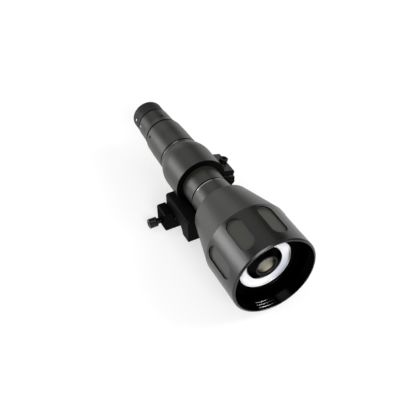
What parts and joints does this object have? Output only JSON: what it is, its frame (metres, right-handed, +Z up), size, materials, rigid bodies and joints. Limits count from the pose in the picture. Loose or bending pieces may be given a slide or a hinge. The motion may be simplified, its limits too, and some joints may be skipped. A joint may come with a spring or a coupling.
{
  "type": "infrared illuminator",
  "caption": "Torch-shaped infrared illuminator with a twist-to-focus head, a dimmer dial at the tail and a ring mount with a sliding jaw for an accessory rail.",
  "frame": {"origin": "middle of the mount's rail seat, on the seat's face", "axes": "+Z up through the tube, -Y along the beam, +X towards the fixed rail hook and the clamp ears"},
  "size_m": [0.062, 0.1736, 0.0552],
  "materials": {
    "black_anodised": "satin black anodised",
    "blackened_steel": "black oxide",
    "bright_steel": "bright",
    "bare_aluminium": "turned",
    "battery_wrap": "satin wrap",
    "circuit_board": "gloss",
    "brass_contact": "satin",
    "lead_sleeve": "matte",
    "emitter_resin": "clear resin",
    "amber_lens": "polished",
    "white_dish": "satin white",
    "seal_rubber": "matte",
    "white_paint": "paint"
  },
  "bodies": {
    "body": {"battery_tube": "black_anodised", "mount_body": "black_anodised", "clamp_screw": "blackened_steel", "jaw_guide_pins": "bright_steel", "heat_sink": "bare_aluminium", "guide_pins": "bright_steel", "emitter_board": "circuit_board", "emitter_dome": "emitter_resin", "emitter_leads": "lead_sleeve", "driver_board": "circuit_board", "front_contact": "brass_contact", "battery": "battery_wrap", "head_nut": "black_anodised", "head_o_ring": "seal_rubber", "seam_washer": "bright_steel", "tail_o_ring": "seal_rubber", "tube_set_screw": "blackened_steel"},
    "head": {"head_shell": "black_anodised"},
    "optics": {"optic_carrier": "black_anodised", "retaining_ring": "black_anodised", "reflector_dish": "white_dish", "lens_barrel": "black_anodised", "emitter_lens": "amber_lens", "lens_retainer": "black_anodised"},
    "tail": {"tail_housing": "black_anodised", "contact_board": "circuit_board", "tail_spring": "bright_steel", "potentiometer": "circuit_board", "pot_nut": "bright_steel", "index_mark": "white_paint", "housing_set_screw": "blackened_steel"},
    "dial": {"power_dial": "black_anodised", "dial_spindle": "bright_steel", "index_dot": "white_paint", "dial_set_screw": "blackened_steel"},
    "jaw": {"clamp_jaw": "black_anodised"},
    "bolt_carrier": {"bolt_washer": "blackened_steel"},
    "bolt": {"clamp_bolt": "blackened_steel"}
  },
  "joints": [
    {"name": "focus_turn", "type": "hinge", "parent": "body", "child": "head", "pos_m": [0, -0.02, 0.02325], "axis": [0, 1, 0], "range_deg": [0, 240]},
    {"name": "focus_slide", "type": "slide", "parent": "body", "child": "optics", "axis": [0, 1, 0], "range_m": [0, 0.004]},
    {"name": "tail_pull", "type": "slide", "parent": "body", "child": "tail", "axis": [0, 1, 0], "range_m": [0, 0.008]},
    {"name": "dial_turn", "type": "hinge", "parent": "tail", "child": "dial", "pos_m": [0, 0.085, 0.02325], "axis": [0, 1, 0], "range_deg": [0, 270]},
    {"name": "jaw_slide", "type": "slide", "parent": "body", "child": "jaw", "axis": [-1, 0, 0], "range_m": [0, 0.0029]},
    {"name": "bolt_travel", "type": "slide", "parent": "body", "child": "bolt_carrier", "axis": [-1, 0, 0], "range_m": [-0.00295, 0]},
    {"name": "bolt_turn", "type": "hinge", "parent": "bolt_carrier", "child": "bolt", "pos_m": [-0.03, 0.0121, -0.001], "axis": [-1, 0, 0], "range_deg": [-1520, 0]}
  ],
  "couplings": [
    {"joint": "focus_slide", "follows": "focus_turn", "m_per_rad": 0.0009549},
    {"joint": "bolt_turn", "follows": "bolt_travel", "rad_per_m": 8976}
  ]
}
